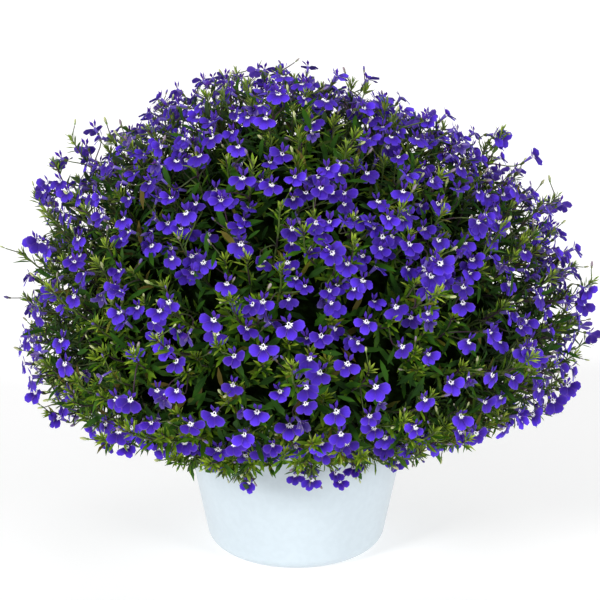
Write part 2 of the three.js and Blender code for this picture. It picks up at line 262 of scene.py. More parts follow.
def add_blade(shape, matrix, length, outline, rise, columns=2, thickness=0.3, part=0, under=0):
    """A petal or leaf from its base at the origin along +Y, upper face to +Z, pointed at both ends.

    outline: rows between the ends as (share of the length, half width). rise(u, v): height of the upper
    face, with u from -1 to 1 across and v from 0 to 1 along. The underside has a keel and no columns.
    """
    shares = [0.0] + [v for v, _ in outline] + [1.0]
    base = shape.point(matrix, 0, 0, rise(0, 0))
    tip = shape.point(matrix, 0, length, rise(0, 1))
    fronts = []
    keels = []
    for v, half_width in outline:
        row = []
        for i in range(columns + 1):
            u = 2 * i / columns - 1
            row.append(shape.point(matrix, u * half_width, v * length, rise(u, v)))
        fronts.append(row)
        keels.append(shape.point(matrix, 0, v * length, rise(0, v) - thickness))
    us = [i / columns for i in range(columns + 1)]
    first, last = fronts[0], fronts[-1]
    for i in range(columns):
        left, right = us[i], us[i + 1]
        middle = (left + right) / 2
        places = ((middle, 0), (right, shares[1]), (left, shares[1]))
        shape.face((base, first[i + 1], first[i]), places, part)
        places = ((left, shares[-2]), (right, shares[-2]), (middle, 1))
        shape.face((last[i], last[i + 1], tip), places, part)
    for j in range(len(fronts) - 1):
        low, high = shares[j + 1], shares[j + 2]
        for i in range(columns):
            corners = (fronts[j][i], fronts[j][i + 1], fronts[j + 1][i + 1], fronts[j + 1][i])
            shape.face(corners, ((us[i], low), (us[i + 1], low), (us[i + 1], high), (us[i], high)), part)
    for side, edge in ((0, 0.0), (columns, 1.0)):
        turn = 1 if side == 0 else -1
        places = ((edge, 0), (edge, shares[1]), (0.5, shares[1]))[::turn]
        shape.face((base, first[side], keels[0])[::turn], places, under)
        places = ((edge, shares[-2]), (0.5, 1), (0.5, shares[-2]))[::turn]
        shape.face((last[side], tip, keels[-1])[::turn], places, under)
        for j in range(len(fronts) - 1):
            low, high = shares[j + 1], shares[j + 2]
            corners = (fronts[j][side], fronts[j + 1][side], keels[j + 1], keels[j])
            places = ((edge, low), (edge, high), (0.5, high), (0.5, low))
            shape.face(corners[::turn], places[::turn], under)


def add_turned(shape, matrix, profile, sides, parts):
    """A closed turned body round +Z. profile: (radius, height) from one end on the axis to the other."""
    start = shape.point(matrix, 0, 0, profile[0][1])
    end = shape.point(matrix, 0, 0, profile[-1][1])
    rings = []
    angles = [2 * math.pi * i / sides for i in range(sides)]
    for radius, height in profile[1:-1]:
        ring = [(radius * math.cos(a), radius * math.sin(a), height) for a in angles]
        rings.append([shape.point(matrix, *place) for place in ring])
    share = 1 / (len(profile) - 1)
    for i in range(sides):
        k = (i + 1) % sides
        left, right = i / sides, (i + 1) / sides
        places = ((left, 0), (right, share), (left, share))
        shape.face((start, rings[0][k], rings[0][i]), places, parts[0])
        for j in range(len(rings) - 1):
            low, high = (j + 1) * share, (j + 2) * share
            corners = (rings[j][i], rings[j][k], rings[j + 1][k], rings[j + 1][i])
            shape.face(corners, ((left, low), (right, low), (right, high), (left, high)), parts[j + 1])
        places = ((left, 1 - share), (right, 1 - share), (left, 1))
        shape.face((rings[-1][i], rings[-1][k], end), places, parts[-1])


def tilted(angle, tilt, start=0.0, height=0.0):
    """Turns a blade to run out from the +Z axis at an angle, raised towards +Z by a tilt, both in degrees."""
    turn = Matrix.Rotation(math.radians(angle - 90), 4, "Z") @ Matrix.Translation((0, start, height))
    return turn @ Matrix.Rotation(math.radians(tilt), 4, "X")


# Parts of a bloom, for its finish.
LOWER_LOBE, UPPER_LOBE, TUBE, UNDERSIDE, CUP, COLLAR, PIT = range(7)

LOWER_LOBE_LENGTH = 6.9
LOWER_LOBE_OUTLINE = ((0.26, 1.25), (0.6, 2.65), (0.87, 2.1))
UPPER_LOBE_LENGTH = 5.2
UPPER_LOBE_OUTLINE = ((0.6, 0.92),)
UPPER_LOBE_ANGLES = (66, 114)
LOBE_START = 0.35  # how far from the throat's middle a lobe begins
TUBE_LENGTH = 4.2
TUBE_SIDES = 5
STALK_START = 6.6  # how far behind the throat the stalk begins
CUP_PROFILE = ((0, -STALK_START - 0.4), (0.5, -STALK_START), (0.95, -TUBE_LENGTH - 0.6), (0.6, -TUBE_LENGTH))
THROAT_PROFILE = ((1.05, 0.05), (0.55, 0.35), (0, -1.0))
THROAT_PARTS = (CUP, CUP, CUP, TUBE, COLLAR, PIT)
THROAT_WIDTHS = Matrix.Diagonal((0.85, 1.2, 1, 1))


def bloom_shape(name, angles, fold=6, side_fold=0, upper_fold=38, width=1.0, droop=1.0):
    """A lobelia bloom that faces +Z with its upper lobes to +Y. angles: where its lower lobes point; fold,
    side_fold and upper_fold: how far its lobes close. All are in degrees."""
    shape = Shape()

    def lobe_rise(u, v):
        return 0.5 * math.sin(math.pi * min(1, v * 1.25)) - droop * v * v - 0.55 * u * u * v

    def upper_rise(u, v):
        return -0.9 * v * v - 0.2 * u * u

    for angle in angles:
        outline = [(v, half * width) for v, half in LOWER_LOBE_OUTLINE]
        matrix = tilted(angle, fold + (side_fold if angle != -90 else 0), LOBE_START)
        add_blade(
            shape, matrix, LOWER_LOBE_LENGTH, outline, lobe_rise, columns=4, thickness=0.3, part=LOWER_LOBE,
            under=UNDERSIDE,
        )
    for angle in UPPER_LOBE_ANGLES:
        matrix = tilted(angle, upper_fold, LOBE_START)
        add_blade(
            shape, matrix, UPPER_LOBE_LENGTH, UPPER_LOBE_OUTLINE, upper_rise, columns=2, thickness=0.25,
            part=UPPER_LOBE, under=UPPER_LOBE,
        )
    add_turned(shape, THROAT_WIDTHS, CUP_PROFILE + THROAT_PROFILE, TUBE_SIDES, THROAT_PARTS)
    return shape.to_mesh(name)


SEPALS = 5
SEPAL_LENGTH = 3.4
SEPAL_OUTLINE = ((0.35, 0.34),)
SEPAL_TILT = 58
CUP_RADIUS = 0.5
CUP_HEIGHT = -4.9


def calyx_shape():
    """The five narrow sepals round a bloom's cup."""
    shape = Shape()
    for i in range(SEPALS):
        matrix = tilted(360 / SEPALS * i + 18, SEPAL_TILT, CUP_RADIUS, CUP_HEIGHT)
        add_blade(shape, matrix, SEPAL_LENGTH, SEPAL_OUTLINE, lambda u, v: -0.4 * v * v, thickness=0.25)
    return shape.to_mesh("calyx")


BUD_PROFILE = ((0, -1.9), (0.75, -0.4), (0.6, 0.7), (0.9, 2.2), (0.7, 3.6), (0, 4.5))
BUD_PARTS = (0, 0, 1, 1, 1)
BUD_SEPALS = 3
BUD_SEPAL_LENGTH = 2.8
BUD_SEPAL_OUTLINE = ((0.4, 0.3),)
BUD_SEPAL_TILT = 72


def bud_shape():
    """A closed bud along +Z. Its cup is part 0 and its corolla part 1."""
    shape = Shape()
    add_turned(shape, Matrix.Identity(4), BUD_PROFILE, TUBE_SIDES, BUD_PARTS)
    for i in range(BUD_SEPALS):
        matrix = tilted(360 / BUD_SEPALS * i, BUD_SEPAL_TILT, CUP_RADIUS)
        add_blade(shape, matrix, BUD_SEPAL_LENGTH, BUD_SEPAL_OUTLINE, lambda u, v: 0.0, thickness=0.2)
    return shape.to_mesh("bud")


# Turns a blade to run along +Z with its upper face to +Y
STAND_UP = Matrix(((-1, 0, 0, 0), (0, 0, 1, 0), (0, 1, 0, 0), (0, 0, 0, 1)))


def leaf_shape(name, length, outline, arch, channel):
    """A leaf along +Z whose upper face looks to +Y. arch: how far its tip bends back; channel: how far
    its edges stand over its midrib."""
    shape = Shape()

    def rise(u, v):
        return channel * abs(u) * math.sin(math.pi * v) - arch * v * v

    add_blade(shape, STAND_UP, length, outline, rise, under=1)
    return shape.to_mesh(name, sharp_angle=60)


BROAD_OUTLINE = ((0.2, 0.9), (0.42, 2.9), (0.5, 2.4), (0.66, 3.3), (0.74, 2.6), (0.88, 1.6))
TOOTHED_OUTLINE = ((0.3, 0.7), (0.56, 1.4), (0.68, 1.0))
NARROW_OUTLINE = ((0.3, 0.7), (0.7, 0.95))
NEEDLE_OUTLINE = ((0.55, 0.62),)
INNER_OUTLINE = ((0.4, 1.25), (0.75, 1.1))

# Node trees


def pick(sockets, key):
    """A node's socket by its number, or by its name among those in use."""
    if isinstance(key, int):
        return sockets[key]
    return next(s for s in sockets if s.enabled and s.name == key)


def add(tree, kind, inputs=None, output=0, **settings):
    """Adds a node to a tree with its settings and its inputs, each a value or the socket that feeds it, and
    returns one of its outputs."""
    node = tree.nodes.new(kind)
    for name, value in settings.items():
        setattr(node, name, value)
    for key, value in (inputs or {}).items():
        socket = pick(node.inputs, key)
        if isinstance(value, bpy.types.NodeSocket):
            tree.links.new(value, socket)
        else:
            socket.default_value = value
    return pick(node.outputs, output) if node.outputs else node


def new_tree(name, sockets):
    """A geometry tree with named inputs. Returns the tree and its inputs' sockets by name."""
    tree = bpy.data.node_groups.new(name, "GeometryNodeTree")
    tree.interface.new_socket(name="Geometry", in_out="INPUT", socket_type="NodeSocketGeometry")
    for socket_name, kind in sockets.items():
        tree.interface.new_socket(name=socket_name, in_out="INPUT", socket_type="NodeSocket" + kind)
    tree.interface.new_socket(name="Geometry", in_out="OUTPUT", socket_type="NodeSocketGeometry")
    entry = tree.nodes.new("NodeGroupInput")
    return tree, {socket.name: socket for socket in entry.outputs if socket.name}


def finish_tree(tree, geometry, material):
    """Every tree ends in real geometry with its finish."""
    real = add(tree, "GeometryNodeRealizeInstances", {"Geometry": geometry})
    done = add(tree, "GeometryNodeSetMaterial", {"Geometry": real, "Material": material})
    add(tree, "NodeGroupOutput", {"Geometry": done})


def stand_tree():
    """Stands a shape on every point with the point's own turn and size, then warps each a little."""
    sockets = {"Shape": "Object", "Warp": "Float", "Warp Scale": "Float", "Material": "Material"}
    tree, given = new_tree("stand on points", sockets)
    shape = add(tree, "GeometryNodeObjectInfo", {"Object": given["Shape"]}, output="Geometry")
    turn = add(tree, "GeometryNodeInputNamedAttribute", {"Name": "turn"}, data_type="QUATERNION")
    size = add(tree, "GeometryNodeInputNamedAttribute", {"Name": "size"}, data_type="FLOAT")
    inputs = {"Points": given["Geometry"], "Instance": shape, "Rotation": turn, "Scale": size}
    stood = add(tree, "GeometryNodeInstanceOnPoints", inputs)
    real = add(tree, "GeometryNodeRealizeInstances", {"Geometry": stood})
    place = add(tree, "GeometryNodeInputPosition")
    inputs = {"Vector": place, "Scale": given["Warp Scale"], "Detail": 1.0}
    noise = add(tree, "ShaderNodeTexNoise", inputs, output="Color")
    centred = add(tree, "ShaderNodeVectorMath", {0: noise, 1: (0.5, 0.5, 0.5)}, operation="SUBTRACT")
    offset = add(tree, "ShaderNodeVectorMath", {0: centred, "Scale": given["Warp"]}, operation="SCALE")
    warped = add(tree, "GeometryNodeSetPosition", {"Geometry": real, "Offset": offset})
    finish_tree(tree, warped, given["Material"])
    return tree


def stalk_tree():
    """Turns polylines into round stems of the thickness that each point has."""
    tree, given = new_tree("stalks", {"Sides": "Int", "Material": "Material"})
    curve = add(tree, "GeometryNodeMeshToCurve", {"Mesh": given["Geometry"]})
    thickness = add(tree, "GeometryNodeInputNamedAttribute", {"Name": "thickness"}, data_type="FLOAT")
    profile = add(tree, "GeometryNodeCurvePrimitiveCircle", {"Resolution": given["Sides"], "Radius": 1.0})
    inputs = {"Curve": curve, "Profile Curve": profile, "Scale": thickness, "Fill Caps": True}
    tube = add(tree, "GeometryNodeCurveToMesh", inputs)
    finish_tree(tree, tube, given["Material"])
    return tree


# Inputs of the tree that sets leaves along stems, besides the leaf and its finish. Tilts are in radians.
LEAF_INPUTS = {
    "Start": "Float", "End": "Float", "Count": "Int", "Tilt At Start": "Float", "Tilt At End": "Float",
    "Tilt Spread": "Float", "Size At Start": "Float", "Size At End": "Float", "Size Spread": "Float",
    "Seed": "Int",
}
# Bounds of each leaf's own draws: radians off the spiral, shares of the tilt's and size's spread, and tone
LEAF_DRAWS = ((-0.6, 0.6), (-1.0, 1.0), (-1.0, 1.0), (0.0, 1.0))


def leaves_tree():
    """Sets leaves in a spiral along polylines, between two shares of their length."""
    sockets = {"Leaf": "Object", **LEAF_INPUTS, "Material": "Material"}
    tree, given = new_tree("leaves along stems", sockets)
    leaf = add(tree, "GeometryNodeObjectInfo", {"Object": given["Leaf"]}, output="Geometry")
    curve = add(tree, "GeometryNodeMeshToCurve", {"Mesh": given["Geometry"]})
    inputs = {"Curve": curve, "Start": given["Start"], "End": given["End"]}
    curve = add(tree, "GeometryNodeTrimCurve", inputs, mode="FACTOR")
    share = add(tree, "GeometryNodeSplineParameter", output="Factor")
    inputs = {"Geometry": curve, "Name": "along", "Value": share}
    curve = add(tree, "GeometryNodeStoreNamedAttribute", inputs, data_type="FLOAT", domain="POINT")
    inputs = {"Curve": curve, "Count": given["Count"]}
    points = add(tree, "GeometryNodeCurveToPoints", inputs, output="Points", mode="COUNT")

    along = add(tree, "GeometryNodeInputNamedAttribute", {"Name": "along"}, data_type="FLOAT")
    index = add(tree, "GeometryNodeInputIndex")
    randoms = []
    for offset, (low, high) in enumerate(LEAF_DRAWS):
        seed = add(tree, "ShaderNodeMath", {0: given["Seed"], 1: float(offset)}, operation="ADD")
        inputs = {"Min": low, "Max": high, "ID": index, "Seed": seed}
        randoms.append(add(tree, "FunctionNodeRandomValue", inputs, output="Value", data_type="FLOAT"))
    spin_stray, tilt_stray, size_stray, tone = randoms
    ranges = []
    for name in ("Tilt", "Size"):
        inputs = {"Value": along, "To Min": given[name + " At Start"], "To Max": given[name + " At End"]}
        ranges.append(add(tree, "ShaderNodeMapRange", inputs))
    tilt, size = ranges
    inputs = {0: index, 1: GOLDEN_ANGLE, 2: spin_stray}
    spin = add(tree, "ShaderNodeMath", inputs, operation="MULTIPLY_ADD")
    inputs = {0: tilt_stray, 1: given["Tilt Spread"], 2: tilt}
    tilt = add(tree, "ShaderNodeMath", inputs, operation="MULTIPLY_ADD")
    inputs = {0: size_stray, 1: given["Size Spread"], 2: 1.0}
    stray = add(tree, "ShaderNodeMath", inputs, operation="MULTIPLY_ADD")
    size = add(tree, "ShaderNodeMath", {0: size, 1: stray}, operation="MULTIPLY")

    axis_z = add(tree, "FunctionNodeAxisAngleToRotation", {"Axis": (0, 0, 1), "Angle": spin})
    axis_x = add(tree, "FunctionNodeAxisAngleToRotation", {"Axis": (1, 0, 0), "Angle": tilt})
    inputs = {"Rotation": points.node.outputs["Rotation"], "Rotate By": axis_z}
    turn = add(tree, "FunctionNodeRotateRotation", inputs, rotation_space="LOCAL")
    inputs = {"Rotation": turn, "Rotate By": axis_x}
    turn = add(tree, "FunctionNodeRotateRotation", inputs, rotation_space="LOCAL")
    inputs = {"Points": points, "Instance": leaf, "Rotation": turn, "Scale": size}
    stood = add(tree, "GeometryNodeInstanceOnPoints", inputs)
    inputs = {"Geometry": stood, "Name": "tone", "Value": tone}
    toned = add(tree, "GeometryNodeStoreNamedAttribute", inputs, data_type="FLOAT", domain="INSTANCE")
    finish_tree(tree, toned, given["Material"])
    return tree


def grow(tree, mesh, values, shape=None):
    """Runs a tree on a mesh and returns what it makes as a plain mesh. shape: the name of the input that
    takes a repeated shape, and its mesh."""
    source = add_object("source", mesh)
    modifier = source.modifiers.new(tree.name, "NODES")
    modifier.node_group = tree
    sockets = {s.name: s.identifier for s in tree.interface.items_tree if s.in_out == "INPUT"}
    for name, value in values.items():
        modifier[sockets[name]] = value
    seed = None
    if shape is not None:
        seed = bpy.data.objects.new("shape", shape[1])
        modifier[sockets[shape[0]]] = seed
    grown = evaluated(source)
    bpy.data.objects.remove(source)
    if seed is not None:
        bpy.data.objects.remove(seed)
    return grown


def as_points(positions, turns, sizes, tones):
    """A mesh of loose points with a turn, a size and a tone each."""
    mesh = bpy.data.meshes.new("points")
    mesh.from_pydata([tuple(p) for p in positions * MM], [], [])
    rows = (("turn", "QUATERNION", turns), ("size", "FLOAT", sizes), ("tone", "FLOAT", tones))
    for name, kind, values in rows:
        mesh.attributes.new(name, kind, "POINT").data.foreach_set("value", np.ravel(values))
    return mesh


def as_lines(lines, thickness):
    """A mesh of polylines: lines is (count, steps, 3), thickness the radius at each of their points."""
    count, steps, _ = lines.shape
    first = np.arange(count)[:, None] * steps + np.arange(steps - 1)[None]
    edges = np.stack((first, first + 1), -1).reshape(-1, 2)
    mesh = bpy.data.meshes.new("lines")
    mesh.from_pydata((lines.reshape(-1, 3) * MM).tolist(), edges.tolist(), [])
    values = np.broadcast_to(thickness, (count, steps)).ravel() * MM
    mesh.attributes.new("thickness", "FLOAT", "POINT").data.foreach_set("value", values)
    return mesh


def turns_to(facing, upward):
    """Quaternions that turn +Z to each facing and +Y towards each upward."""
    side = unit(np.cross(upward, facing))
    over = np.cross(facing, side)
    turns = []
    for x, y, z in zip(side, over, facing):
        turns.append(tuple(Matrix((x, y, z)).transposed().to_quaternion()))
    return np.array(turns)


# Shares of a curve's span for which it holds its first and its last direction
BEND_START = 0.4
BEND_END = 0.35


def bends(starts, start_ways, ends, end_ways, steps):
    """Smooth curves from starts to ends that leave and arrive along given directions."""
    t = np.linspace(0, 1, steps)[None, :, None]
    span = np.linalg.norm(ends - starts, axis=1)[:, None]
    a = starts[:, None]
    b = (starts + start_ways * span * BEND_START)[:, None]
    c = (ends - end_ways * span * BEND_END)[:, None]
    d = ends[:, None]
    return a * (1 - t) ** 3 + 3 * b * t * (1 - t) ** 2 + 3 * c * t * t * (1 - t) + d * t ** 3


# Finishes


def linear(hex_code):
    """Linear colour of an sRGB hex value."""
    shares = [int(hex_code[i : i + 2], 16) / 255 for i in (1, 3, 5)]
    return tuple(s / 12.92 if s <= 0.04045 else ((s + 0.055) / 1.055) ** 2.4 for s in shares) + (1.0,)


def new_finish(name, roughness, **settings):
    """A material with a plain surface shader. settings: values for the shader's own sockets."""
    material = bpy.data.materials.new(name)
    material.use_nodes = True
    tree = material.node_tree
    shader = tree.nodes["Principled BSDF"]
    shader.inputs["Roughness"].default_value = roughness
    for socket, value in settings.items():
        shader.inputs[socket.replace("_", " ")].default_value = value
    return material, tree, shader


def paint(tree, body, layers):
    """Lays colours over a body colour. Each layer: the value that drives it, the value where it begins, the
    value where it is fullest, its share there, and its colour."""
    for value, start, full, share, colour in layers:
        inputs = {"Value": value, "From Min": start, "From Max": full, "To Max": share}
        share = add(tree, "ShaderNodeMapRange", inputs, interpolation_type="SMOOTHSTEP")
        inputs = {"Factor": share, "A": body, "B": linear(colour) if isinstance(colour, str) else colour}
        body = add(tree, "ShaderNodeMix", inputs, "Result", data_type="RGBA")
    return body


# In the skirt, this share shortens the reach that the painted shade is measured against.
SKIRT_LIGHT = 0.88  # the skirt is thinner than the rest, so light reaches deeper into it


def heart_share(tree):
    """How far a point lies from the bush's heart, 1 at its usual reach, which is less in the skirt. It drives
    the painted shade that darkens finishes deep in the bush.
    """
    place = add(tree, "ShaderNodeTexCoord", output="Object")
    offset = add(tree, "ShaderNodeVectorMath", {0: place, 1: tuple(HEART * MM)}, operation="SUBTRACT")
    distance = add(tree, "ShaderNodeVectorMath", {0: offset}, "Value", operation="LENGTH")
    height = add(tree, "ShaderNodeSeparateXYZ", {"Vector": offset}, "Z")
    steepness = add(tree, "ShaderNodeMath", {0: height, 1: distance}, operation="DIVIDE")
    inputs = {
        "Value": steepness, "From Min": math.cos(SKIRT_FROM), "From Max": math.cos(SKIRT_TO),
        "To Min": REACH * MM, "To Max": SKIRT_LIGHT * SKIRT_REACH * MM,
    }
    usual_reach = add(tree, "ShaderNodeMapRange", inputs)
    return add(tree, "ShaderNodeMath", {0: distance, 1: usual_reach}, operation="DIVIDE")


def marks(tree):
    """A shape's part numbers, and the tone that each copy of it drew."""
    return [add(tree, "ShaderNodeAttribute", output="Fac", attribute_name=name) for name in ("part", "tone")]


def blade_places(tree):
    """Places on a petal or leaf: across it from 0 to 1, along it from 0 to 1, and off its midrib to 0.5."""
    across = add(tree, "ShaderNodeSeparateXYZ", {"Vector": add(tree, "ShaderNodeUVMap", uv_map="UVMap")}, "X")
    off_centre = add(tree, "ShaderNodeMath", {0: across, 1: 0.5}, operation="SUBTRACT")
    off_centre = add(tree, "ShaderNodeMath", {0: off_centre}, operation="ABSOLUTE")
    return across, across.node.outputs["Y"], off_centre


VEIN_WAVES = 44.0  # radians across a lobe, which make seven veins


def petal_finish(name, bright, deep, edge, back, eye=1.0):
    """Lobelia petal: velvety cells scatter light, so it is nearly matt with a soft sheen, and its blue-violet
    is deepest near the throat and along fine veins. It is darkened in blooms deep in the bush as painted
    shade, and its rims and tips are paler as painted highlight. The eye is white with a dark slit and a pit
    near black as painted shade, the back paler."""
    material, tree, shader = new_finish(
        name, 0.6, Specular_IOR_Level=0.14, Sheen_Weight=0.03, Sheen_Roughness=0.4, Subsurface_Weight=0.3,
        Subsurface_Scale=0.0015, Subsurface_Radius=(0.5, 0.35, 1.0),
    )
    across, along, off_centre = blade_places(tree)
    part, tone = marks(tree)
    veins = add(tree, "ShaderNodeMath", {0: across, 1: VEIN_WAVES}, operation="MULTIPLY")
    veins = add(tree, "ShaderNodeMath", {0: veins}, operation="SINE")
    # The eye reaches further along the lobe in two legs, each halfway from the midrib to an edge
    legs = add(tree, "ShaderNodeMath", {0: off_centre, 1: 0.25}, operation="PINGPONG")
    legs = add(tree, "ShaderNodeMath", {0: legs, 1: -0.4, 2: along}, operation="MULTIPLY_ADD")
    slit = add(tree, "ShaderNodeMath", {0: off_centre, 1: 4.0}, operation="MULTIPLY")
    slit = add(tree, "ShaderNodeMath", {0: slit, 1: along}, operation="MAXIMUM")
    upper = paint(tree, linear("#2c1062"), ((along, 0.0, 1.0, 1.0, "#4325a8"),))
    tube = paint(tree, linear("#3b2a78"), ((along, 0.0, 1.0, 1.0, "#7461c0"),))
    # PIT, the throat's opening, is near black as painted shade of the tube
    parts = (
        (UPPER_LOBE, upper), (TUBE, tube), (UNDERSIDE, back), (CUP, "#465222"), (COLLAR, "#f3efff"),
        (PIT, "#1a0f38"),
    )
    body = paint(tree, linear(deep), (
        (along, 0.2, 0.85, 1.0, bright),
        (tone, 0.1, 1.0, 0.7, deep),
        # Paler rims and tips in the edge colour: painted highlight
        (off_centre, 0.3, 0.5, 0.15, edge),
        (along, 0.75, 1.0, 0.2, edge),
        (veins, 0.6, 1.0, 0.25, deep),
        (legs, 0.155, 0.095, eye, "#f3efff"),
        (slit, 0.38, 0.2, 0.85 * eye, "#24106a"),
        *((part, number - 0.6, number - 0.4, 1.0, colour) for number, colour in parts),
        # Painted shade: darker in blooms deep in the bush
        (heart_share(tree), 0.92, 0.76, 0.6, "#16093a"),
    ))
    tree.links.new(body, shader.inputs["Base Color"])
    return material


def leaf_finish(name, dark, light, tip, depth=0.75, roughness=0.5):
    """Lobelia leaf: a thin waxy skin gives a soft shine. Leaves inside the bush are darkened as painted
    shade, up to the share depth; tips and midribs are paler, undersides greyer, and a few leaves turn rusty.
    Clumps of about 35 mm grow lusher."""
    material, tree, shader = new_finish(name, roughness, IOR=1.42, Specular_IOR_Level=0.14)
    _, along, off_centre = blade_places(tree)
    part, tone = marks(tree)
    place = add(tree, "ShaderNodeTexCoord", output="Object")
    clumps = add(tree, "ShaderNodeTexNoise", {"Vector": place, "Scale": 28.0, "Detail": 1.0})
    body = paint(tree, linear(dark), (
        (tone, 0.0, 1.0, 1.0, light),
        (clumps, 0.48, 0.62, 0.5, light),
        (clumps, 0.52, 0.68, 0.3, tip),
        (along, 0.45, 1.0, 0.6, tip),
        (off_centre, 0.07, 0.0, 0.35, tip),
        (part, 0.4, 0.6, 0.45, "#5c6c50"),
        (tone, 0.95, 0.96, 0.6, "#6a4e24"),
        # Painted shade towards the bush's heart
        (heart_share(tree), 0.95, 0.62, depth, "#081305"),
    ))
    tree.links.new(body, shader.inputs["Base Color"])
    return material


def stem_finish(name, green, purple):
    """Stem: green skin, flushed purple in patches about 12 mm long, and darkened deep in the bush as painted
    shade.
    """
    material, tree, shader = new_finish(name, 0.55, Specular_IOR_Level=0.3)
    place = add(tree, "ShaderNodeTexCoord", output="Object")
    noise = add(tree, "ShaderNodeTexNoise", {"Vector": place, "Scale": 80.0, "Detail": 2.0})
    # The second layer is painted shade deep in the bush
    layers = ((noise, 0.42, 0.62, 1.0, purple), (heart_share(tree), 0.92, 0.6, 1.0, "#0d1507"))
    tree.links.new(paint(tree, linear(green), layers), shader.inputs["Base Color"])
    return material


def bud_finish():
    """Bud: pale green cup, and a tight corolla from cream to grey-violet that differs from bud to bud."""
    material, tree, shader = new_finish("lobelia_bud", 0.5)
    part, tone = marks(tree)
    layers = ((tone, 0.3, 0.6, 1.0, "#8d7c86"), (tone, 0.6, 0.9, 1.0, "#54429c"))
    corolla = paint(tree, linear("#b4ba82"), layers)
    layers = ((tone, 0.0, 1.0, 1.0, "#5a5233"), (part, 0.4, 0.6, 1.0, corolla))
    tree.links.new(paint(tree, linear("#6d8a3a"), layers), shader.inputs["Base Color"])
    return material


def soil_finish():
    """Moist potting soil: matt dark peat with paler bark in grains of about 3 mm."""
    material, tree, shader = new_finish("moist_peat", 0.9)
    place = add(tree, "ShaderNodeTexCoord", output="Object")
    grains = add(tree, "ShaderNodeTexVoronoi", {"Vector": place, "Scale": 330.0}, "Color")
    grey = add(tree, "ShaderNodeRGBToBW", {"Color": grains})
    body = paint(tree, linear("#1f150e"), ((grey, 0.3, 0.95, 1.0, "#4c3624"),))
    tree.links.new(body, shader.inputs["Base Color"])
    return material


def pot_finish():
    """Injection-moulded polypropylene: smooth, satin, a cool white with a faint orange-peel of about 4 mm."""
    material, tree, shader = new_finish("white_polypropylene", 0.32, IOR=1.49)
    place = add(tree, "ShaderNodeTexCoord", output="Object")
    noise = add(tree, "ShaderNodeTexNoise", {"Vector": place, "Scale": 240.0, "Detail": 1.0})
    body = paint(tree, linear("#bcc7ce"), ((noise, 0.3, 0.7, 1.0, "#bfcad1"),))
    tree.links.new(body, shader.inputs["Base Color"])
    bump = add(tree, "ShaderNodeBump", {"Height": noise, "Strength": 0.02, "Distance": 0.0004})
    tree.links.new(bump, shader.inputs["Normal"])
    return material


# Pieces


def place_piece(name, mesh, nodes=()):
    """Puts a finished mesh in the scene as a piece that rides on the plant's one body."""
    mesh.name = name
    piece = add_object(name, mesh)
    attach(piece, "root")
    if nodes:
        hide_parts(*nodes)


STAND = stand_tree()
STALKS = stalk_tree()
LEAVES = leaves_tree()


def place_crowd(name, shape, points, warp, finish, nodes=()):
    """One piece of a shape that stands on every point. warp: how far it is bent, in metres, and how often
    in a metre the bend changes."""
    values = {"Warp": warp[0], "Warp Scale": warp[1], "Material": finish}
    place_piece(name, grow(STAND, points, values, ("Shape", shape)), nodes)


def make_sites():
    """The sites of the solids: direction, frame and what stands there."""
    ways = scatter_ways(SITES, SITE_DRAWS, (1, 2))
    index = np.arange(SITES)
    facing, upward = head_frames(ways, index)
    kinds = draw(index, 7)
    return {
        "index": index, "way": ways, "facing": facing, "upward": upward,
        "far": draw(index, 8), "size": lerp(*SIZES, draw(index, 9)),
        "is_bloom": kinds < BLOOM_SHARE, "is_leafy": kinds >= BLOOM_SHARE,
    }


def chosen(sites, mask):
    return {key: value[mask] for key, value in sites.items()}


STALK_STEPS = 7
LEAST_DROP = 7.0  # a stalk's joint is at least this much nearer to the heart than its bloom's back
OUT_OF_REACH = 1000.0


def flower_stalks(heads, facing, sizes, stems):
    """Thin stalks from the back of each bloom to the nearest stem, which they join pointing outwards."""
    backs = heads - facing * (STALK_START * sizes)[:, None]
    joints = stems[:, :-1].reshape(-1, 3)
    along = unit(stems[:, 1:] - stems[:, :-1]).reshape(-1, 3)
    depth = np.linalg.norm(joints - HEART, axis=1)
    nearest = []
    for back in backs:
        gaps = np.linalg.norm(joints - back, axis=1)
        gaps[depth > np.linalg.norm(back - HEART) - LEAST_DROP] += OUT_OF_REACH
        nearest.append(gaps.argmin())
    return bends(backs, -facing, joints[nearest], -along[nearest], STALK_STEPS)


BLOOM_KINDS = (
    ("open_blooms", {"angles": (-90, -26, 206), "upper_fold": 26}),
    ("fan_blooms", {"angles": (-90, -38, 218), "fold": 12, "upper_fold": 34, "droop": 1.5}),
    ("forward_blooms", {"angles": (-90, -30, 211), "fold": 26, "side_fold": 14, "upper_fold": 52}),
)


def build_blooms(sites, stems):
    """The blooms of the solids, in three forms, each with its calyx and stalk."""
    # Colours: bright, deep, the rims' painted highlight, and the back
    petals = petal_finish("lobelia_petal", "#522dda", "#2c0d74", "#8268ec", "#5f44b4")
    green = leaf_finish("lobelia_calyx", "#3a4a1e", "#5c6e2c", "#6a4f5e", depth=0.5)
    blooms = chosen(sites, sites["is_bloom"])
    heads = from_heart(blooms["way"], lerp(*BLOOM_LEVELS, blooms["far"]))
    turns = turns_to(blooms["facing"], blooms["upward"])
    tones = draw(blooms["index"], 12)
    kinds = (draw(blooms["index"], 13) * len(BLOOM_KINDS)).astype(int)
    for kind, (name, form) in enumerate(BLOOM_KINDS):
        mask = kinds == kind
        points = as_points(heads[mask], turns[mask], blooms["size"][mask], tones[mask])
        nodes = SPRAY_NODES if kind == 0 else ()
        place_crowd(name, bloom_shape(name, **form), points, (0.0024, 90.0), petals, nodes)
    points = as_points(heads, turns, blooms["size"], tones)
    place_crowd("calyces", calyx_shape(), points, (0.001, 90.0), green)
    return flower_stalks(heads, blooms["facing"], blooms["size"], stems)


# The first draw of each crowd, so that no two share their draws
HIDDEN_FIRST = 5000
REACHING_FIRST = 5800
HANGING_FIRST = 6000
SPENT_FIRST = 7000
SHOOT_FIRST = 9000
RIM_FIRST = 9700
HEM_FIRST = 9900

